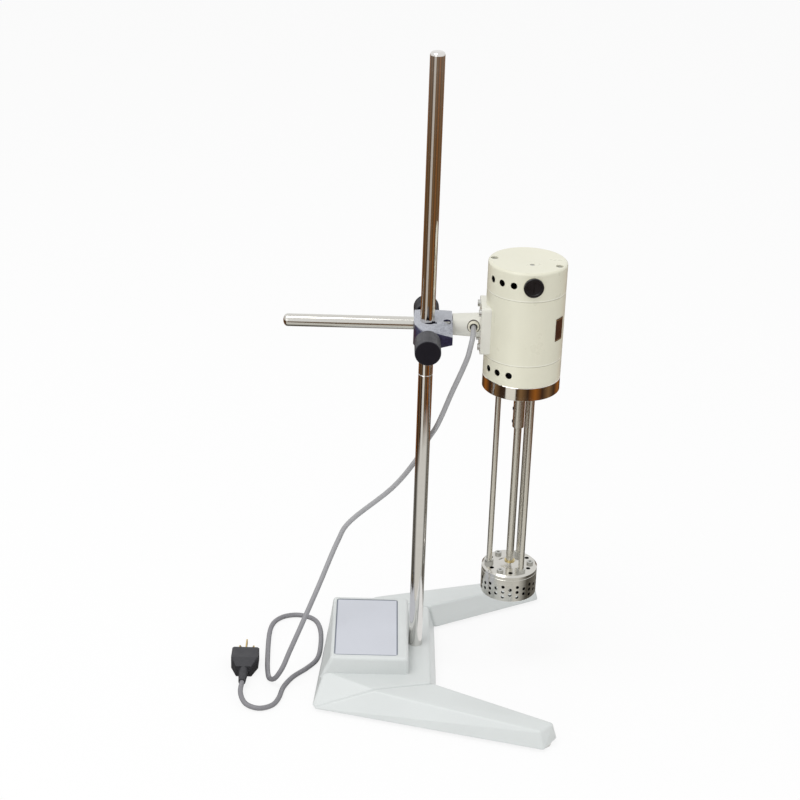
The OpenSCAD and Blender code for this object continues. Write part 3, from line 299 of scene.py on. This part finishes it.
make_floor()
make_world()
area_light("key_light", at=(-0.9, -0.6, 2.9), aim=(0, 0, 0.2), size=1.8, power=27)
area_light("fill_light", at=(-1.1, -2.2, 1.3), aim=(0, 0, 0.3), size=1.6, power=5)
make_table()
bpy.context.scene.view_settings.view_transform = "Standard"


# ---- materials ----
class Shader:
    """A principled material whose colour, roughness and bump come from its nodes."""
    def __init__(self, name, metallic=0.0):
        self.mat = bpy.data.materials.new(name)
        self.mat.use_nodes = True
        self.tree = self.mat.node_tree
        self.bsdf = self.tree.nodes["Principled BSDF"]
        self.bsdf.inputs["Metallic"].default_value = metallic
        coords = self.add("ShaderNodeTexCoord").outputs
        self.where, self.faces = coords["Object"], coords["Normal"]
        self.normal = None

    def add(self, kind, inputs=None, **settings):
        return add_node(self.tree, kind, inputs, **settings)

    def placed(self, scale=(1, 1, 1)):
        return self.add("ShaderNodeMapping", {"Vector": self.where, "Scale": scale})

    def noise(self, scale, detail=4.0, stretch=(1, 1, 1)):
        return self.add("ShaderNodeTexNoise", {"Scale": scale, "Detail": detail,
                        "Vector": self.placed(stretch)}).outputs["Fac"]

    def ramp(self, fac, *stops):
        node = self.add("ShaderNodeValToRGB", {"Fac": fac})
        fill_ramp(node, stops)
        return node.outputs["Color"]

    def spread(self, fac, low, high, from_low=0.3, from_high=0.7):
        """fac from from_low to from_high becomes low to high, and stays between them."""
        return self.add("ShaderNodeMapRange",
                        {"Value": fac, "From Min": from_low, "From Max": from_high,
                         "To Min": low, "To Max": high}).outputs[0]

    def mix(self, fac, a, b):
        node = self.add("ShaderNodeMix", {FACTOR: fac, SIDE_A: a, SIDE_B: b}, data_type="RGBA")
        return node.outputs[MIXED]

    def math(self, operation, a, b=0.0):
        return self.add("ShaderNodeMath", {0: a, 1: b}, operation=operation).outputs[0]

    def both(self, a, b):
        return self.math("MULTIPLY", a, b)

    def apart(self, value, centre):
        return self.math("ABSOLUTE", self.math("SUBTRACT", value, centre))

    def axes(self, vector=None):
        return self.add("ShaderNodeSeparateXYZ", {0: vector or self.where}).outputs

    def radius(self, at_a, at_b, plane="XY"):
        """Distance from an axis along Z, or along Y for the plane XZ."""
        x, y, z = self.axes()
        da = self.math("SUBTRACT", x, at_a)
        db = self.math("SUBTRACT", y if plane == "XY" else z, at_b)
        squares = self.math("ADD", self.math("MULTIPLY", da, da), self.math("MULTIPLY", db, db))
        return self.math("SQRT", squares)

    def near(self, value, centre, width):
        """1 within width of centre, fading to 0 just past it."""
        return self.spread(self.apart(value, centre), 1, 0, width, width * 1.3)

    def facing(self, axis):
        """The part of the surface's own normal along one axis."""
        return self.axes(self.faces)[axis]

    def bump(self, height, strength, distance):
        inputs = {"Strength": strength, "Distance": distance, "Height": height}
        if self.normal:
            inputs["Normal"] = self.normal
        self.normal = self.add("ShaderNodeBump", inputs).outputs[0]

    def done(self, colour, roughness, coat=0.0, coat_rough=0.1):
        self.tree.links.new(colour, self.bsdf.inputs["Base Color"])
        self.tree.links.new(roughness, self.bsdf.inputs["Roughness"])
        self.tree.links.new(self.normal, self.bsdf.inputs["Normal"])
        if coat:
            self.bsdf.inputs["Coat Weight"].default_value = coat
            self.bsdf.inputs["Coat Roughness"].default_value = coat_rough
        return self.mat


def enamel(s, colour, rough, tone=0.06, coat=0.25):
    """Sprayed enamel: a faint orange peel, small changes of tone and a clear top.
    Returns its colour, and the finish that done() takes."""
    tint = s.ramp(s.noise(14, 5), (0.3, shade(colour, 1 - tone)), (0.7, colour))
    col = s.mix(s.spread(s.noise(900, 2), 0, 0.10), tint, shade(colour, 0.8))
    s.bump(s.noise(420, 2), 0.15, 0.0002)
    finish = {"roughness": s.spread(s.noise(60, 4), rough - 0.06, rough + 0.08),
              "coat": coat, "coat_rough": 0.2}
    return col, finish


def plain_enamel(name, colour, rough, tone):
    s = Shader(name)
    col, finish = enamel(s, colour, rough, tone)
    return s.done(col, **finish)


def motor_enamel(name, colour):
    """Enamel with a painted highlight line and a dark joint line at each seam, and painted shade
    behind the vents.
    """
    s = Shader(name)
    col, finish = enamel(s, colour, 0.32)
    z = s.axes()[2]
    line = 0.0004
    for seam in (CAP_SEAM, BELL_SEAM):
        # painted highlight: a near-white line just above each seam, where its edge catches the
        # light
        seam_highlight = s.near(z, seam + 0.0011, line)
        col = s.mix(s.both(seam_highlight, 0.55), col, srgb(250, 249, 240))
        col = s.mix(s.both(s.near(z, seam, line), 0.35), col, srgb(150, 146, 130))
    # painted shade: inside the housing, across the vented band, the enamel is painted near black
    inside = s.math("LESS_THAN", s.radius(HEAD_X, ROD_Y), MOTOR_IN)
    vent_shade_band = s.math("LESS_THAN", s.apart(z, VENT_MID), VENT_REACH)
    col = s.mix(s.both(inside, vent_shade_band), col, srgb(20, 19, 18))
    return s.done(col, **finish)


def arm_enamel(name, colour):
    """Enamel, with painted shade in the groove round the cable gland."""
    s = Shader(name)
    col, finish = enamel(s, colour, 0.35)
    groove = s.math("LESS_THAN", s.radius(GLAND_X, GLAND_Z, "XZ"), GROOVE_R)
    front = s.math("LESS_THAN", s.axes()[1], GROOVE_SHADE_FRONT)
    # painted shade: the groove round the gland is painted dark brown
    col = s.mix(s.both(groove, front), col, srgb(58, 48, 34))
    return s.done(col, **finish)


def panel(name, colour, line):
    """A satin plate with a painted shadow line just inside its edge, standing for the shade in
    the groove round it.
    """
    s = Shader(name)
    col, finish = enamel(s, colour, 0.5, tone=0.03, coat=0)
    x, y, z = s.axes()
    dx = s.math("SUBTRACT", s.apart(x, PLATE_X), PLATE_W / 2)
    dy = s.math("SUBTRACT", s.math("ABSOLUTE", y), PLATE_L / 2)
    groove_shadow_at, groove_shadow_half = -0.0009, 0.0007
    # painted shadow: a blue-grey line inside the plate's edge
    col = s.mix(s.near(s.math("MAXIMUM", dx, dy), groove_shadow_at, groove_shadow_half), col, line)
    return s.done(col, **finish)


def hammered(name, top, side):
    """Hammered paint over a rough casting, with painted light: bright on its top and on its right
    side, by which way each face turns.
    """
    s = Shader(name)
    s.bsdf.inputs["Specular IOR Level"].default_value = 0.25
    cell = s.add("ShaderNodeTexVoronoi", {"Scale": 1100, "Vector": s.placed()})
    mottle = s.both(s.noise(300, 3), 0.2)
    # painted light: faces turned up or to the right take the lighter top colour
    up = s.spread(s.math("ADD", s.facing(2), mottle), 0, 1, 0.78, 0.98)
    right = s.both(s.spread(s.facing(0), 0, 0.8, 0.6, 0.95), s.spread(s.noise(160, 5), 0.2, 1))
    bright = s.math("MAXIMUM", up, right)
    light = s.ramp(s.noise(900, 4), (0.36, shade(top, 0.62)), (0.6, top))
    deep = s.ramp(s.noise(700, 4), (0.4, shade(side, 0.8)), (0.68, shade(side, 1.7)))
    col = s.mix(bright, deep, light)
    s.bump(cell.outputs["Distance"], 0.2, 0.0003)
    s.bump(s.noise(1500, 3), 0.25, 0.0001)
    return s.done(col, s.spread(s.noise(200, 3), 0.28, 0.5), 0.2, 0.25)


def turned(name, colour, rough=0.22, lines=(2, 2, 900), tone=0.12, bump=0.05, deep=None):
    """Machined metal with fine tool lines. deep is the radius and height of an inside painted
    near black as shade.
    """
    s = Shader(name, metallic=1.0)
    streak = s.noise(1.0, 6, lines)
    col = s.ramp(streak, (0.3, shade(colour, 1 - tone)), (0.7, colour))
    if deep:
        # painted shade: the hollow inside is painted near black
        inside = s.math("LESS_THAN", s.radius(HEAD_X, ROD_Y), deep[0])
        below = s.math("LESS_THAN", s.axes()[2], deep[1])
        col = s.mix(s.both(inside, below), col, srgb(34, 33, 31))
    s.bump(streak, bump, 0.0002)
    wear = s.noise(1.0, 4, (lines[0] * 3, lines[1] * 3, lines[2] * 0.5))
    return s.done(col, s.spread(wear, max(0.03, rough - 0.04), rough + 0.06))


def moulded(name, colour, rough=0.55, grain=1800, fleck=None, bump=0.25, end=None, low=None,
            gloss=0.5):
    """Plastic or rubber. end is the colour of faces across Y, low the one near the table."""
    s = Shader(name)
    s.bsdf.inputs["Specular IOR Level"].default_value = gloss
    g = s.noise(grain, 3)
    col = s.ramp(s.noise(30, 4), (0.3, shade(colour, 0.9)), (0.7, colour))
    if fleck:
        col = s.mix(s.spread(g, 0, 0.6, 0.5, 0.68), col, fleck)
    if end:
        across = s.math("ABSOLUTE", s.facing(1))
        col = s.mix(s.spread(across, 0, 1, 0.75, 0.85), col, end)
    if low:
        col = s.mix(s.spread(s.axes()[2], 1, 0, 0.02, 0.16), col, low)
    s.bump(g, bump, 0.00015)
    return s.done(col, s.spread(s.noise(90, 3), rough - 0.08, rough + 0.1))


def label_face(name, colour, line):
    """A dark blank plate bent round the housing, with a thin bright frame."""
    s = Shader(name)
    col = s.ramp(s.noise(120, 4), (0.3, shade(colour, 0.75)), (0.7, shade(colour, 1.2)))
    height = s.apart(s.axes()[2], LABEL_Z)
    col = s.mix(s.near(height, LABEL_FRAME, 0.0003), col, line)
    s.bump(s.noise(600, 3), 0.1, 0.0001)
    return s.done(col, s.spread(s.noise(90, 3), 0.25, 0.4))


M = {
    "base_paint": plain_enamel("base_enamel", srgb(218, 222, 221), 0.42, tone=0.04),
    # the panel's line colour is a painted shadow along its edge
    "plate_face": panel("plate_satin", srgb(208, 211, 219), line=srgb(120, 126, 140)),
    "foot_rubber": moulded("foot_rubber_look", srgb(226, 226, 222), 0.7),
    "zinc_steel": turned("zinc_look", srgb(196, 196, 192), 0.3, lines=(40, 40, 40)),
    "post_chrome": turned("chrome_look", srgb(222, 220, 217), 0.07, lines=(6, 6, 160),
                          tone=0.04, bump=0.004),
    # top is the painted lit colour of the boss's upper and right faces; side is its own navy
    "boss_paint": hammered("boss_hammered", top=srgb(182, 185, 194), side=srgb(34, 32, 60)),
    "pad_brass": turned("brass_look", srgb(204, 178, 120), 0.3),
    "knob_black": moulded("knob_look", srgb(66, 66, 70), 0.5, fleck=srgb(124, 124, 128),
                          end=srgb(22, 20, 28), gloss=0.15),
    "arm_paint": arm_enamel("arm_enamel", srgb(230, 229, 219)),
    "motor_paint": motor_enamel("motor_enamel", srgb(229, 227, 207)),
    "bright_steel": turned("bright_steel_look", srgb(208, 206, 200), 0.13, lines=(2, 2, 500),
                           tone=0.05, bump=0.006, deep=(STATOR_IN, STATOR_LID)),
    "gland_plastic": moulded("gland_look", srgb(228, 224, 206), 0.4, bump=0.1),
    "grommet_rubber": moulded("grommet_look", srgb(38, 38, 40), 0.7),
    "brush_plastic": moulded("brush_cap_look", srgb(20, 18, 22), 0.3, bump=0.08),
    "carbon": moulded("carbon_look", srgb(40, 40, 42), 0.6),
    "lamination": turned("lamination_look", srgb(120, 120, 126), 0.4, lines=(2, 2, 2600),
                         tone=0.3, bump=0.3),
    "copper": turned("copper_look", srgb(196, 110, 62), 0.35, lines=(30, 30, 900),
                     tone=0.3, bump=0.4),
    "plate_brown": label_face("plate_brown_look", srgb(66, 36, 22), line=srgb(150, 120, 84)),
    "fan_plastic": moulded("fan_look", srgb(64, 64, 70), 0.5),
    "screw_steel": turned("black_screw_look", srgb(70, 70, 74), 0.35, lines=(60, 60, 60)),
    "brass_parts": turned("brass_turned_look", srgb(208, 190, 140)),
    "cord_pvc": moulded("cord_look", srgb(166, 166, 168), 0.36, grain=1200, bump=0.08,
                        low=srgb(132, 131, 135)),
    "plug_black": moulded("plug_look", srgb(44, 44, 48), 0.5, fleck=srgb(70, 70, 76)),
}
POLISHED = turned("polished_steel_look", srgb(228, 224, 216), 0.05, lines=(2, 2, 300),
                  tone=0.03, bump=0.002)
SATIN = turned("satin_steel_look", srgb(214, 211, 202), 0.24, lines=(900, 900, 3),
               tone=0.03, bump=0.003)
REAR_KNOB = moulded("rear_knob_look", srgb(26, 25, 32), 0.45, fleck=srgb(44, 42, 52),
                    end=srgb(16, 15, 22), gloss=0.1)
# nodes with a finish of their own, beside their slot's
by_node = {"motor_flange": POLISHED, "support_rods": SATIN, "drive_shaft": SATIN,
           "shaft_coupling": SATIN, "rod_knob": REAR_KNOB}
slots = {s["node"]: s["material_slot"] for s in frame["record"]["subparts"]}


def paint(ob, look):
    mats = ob.data.materials
    for k in range(len(mats)):
        mats[k] = look
    if not mats:
        mats.append(look)


for name, ob in frame["nodes"].items():
    paint(ob, by_node.get(name, M[slots[name]]))

for run, ob in cords.items():
    line = runs[run]
    paint(ob, M["cord_pvc"])
    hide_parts("cord")
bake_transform(cords["cord_lower"])
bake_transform(cords["cord_upper"])
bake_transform(cords["cord_top"])
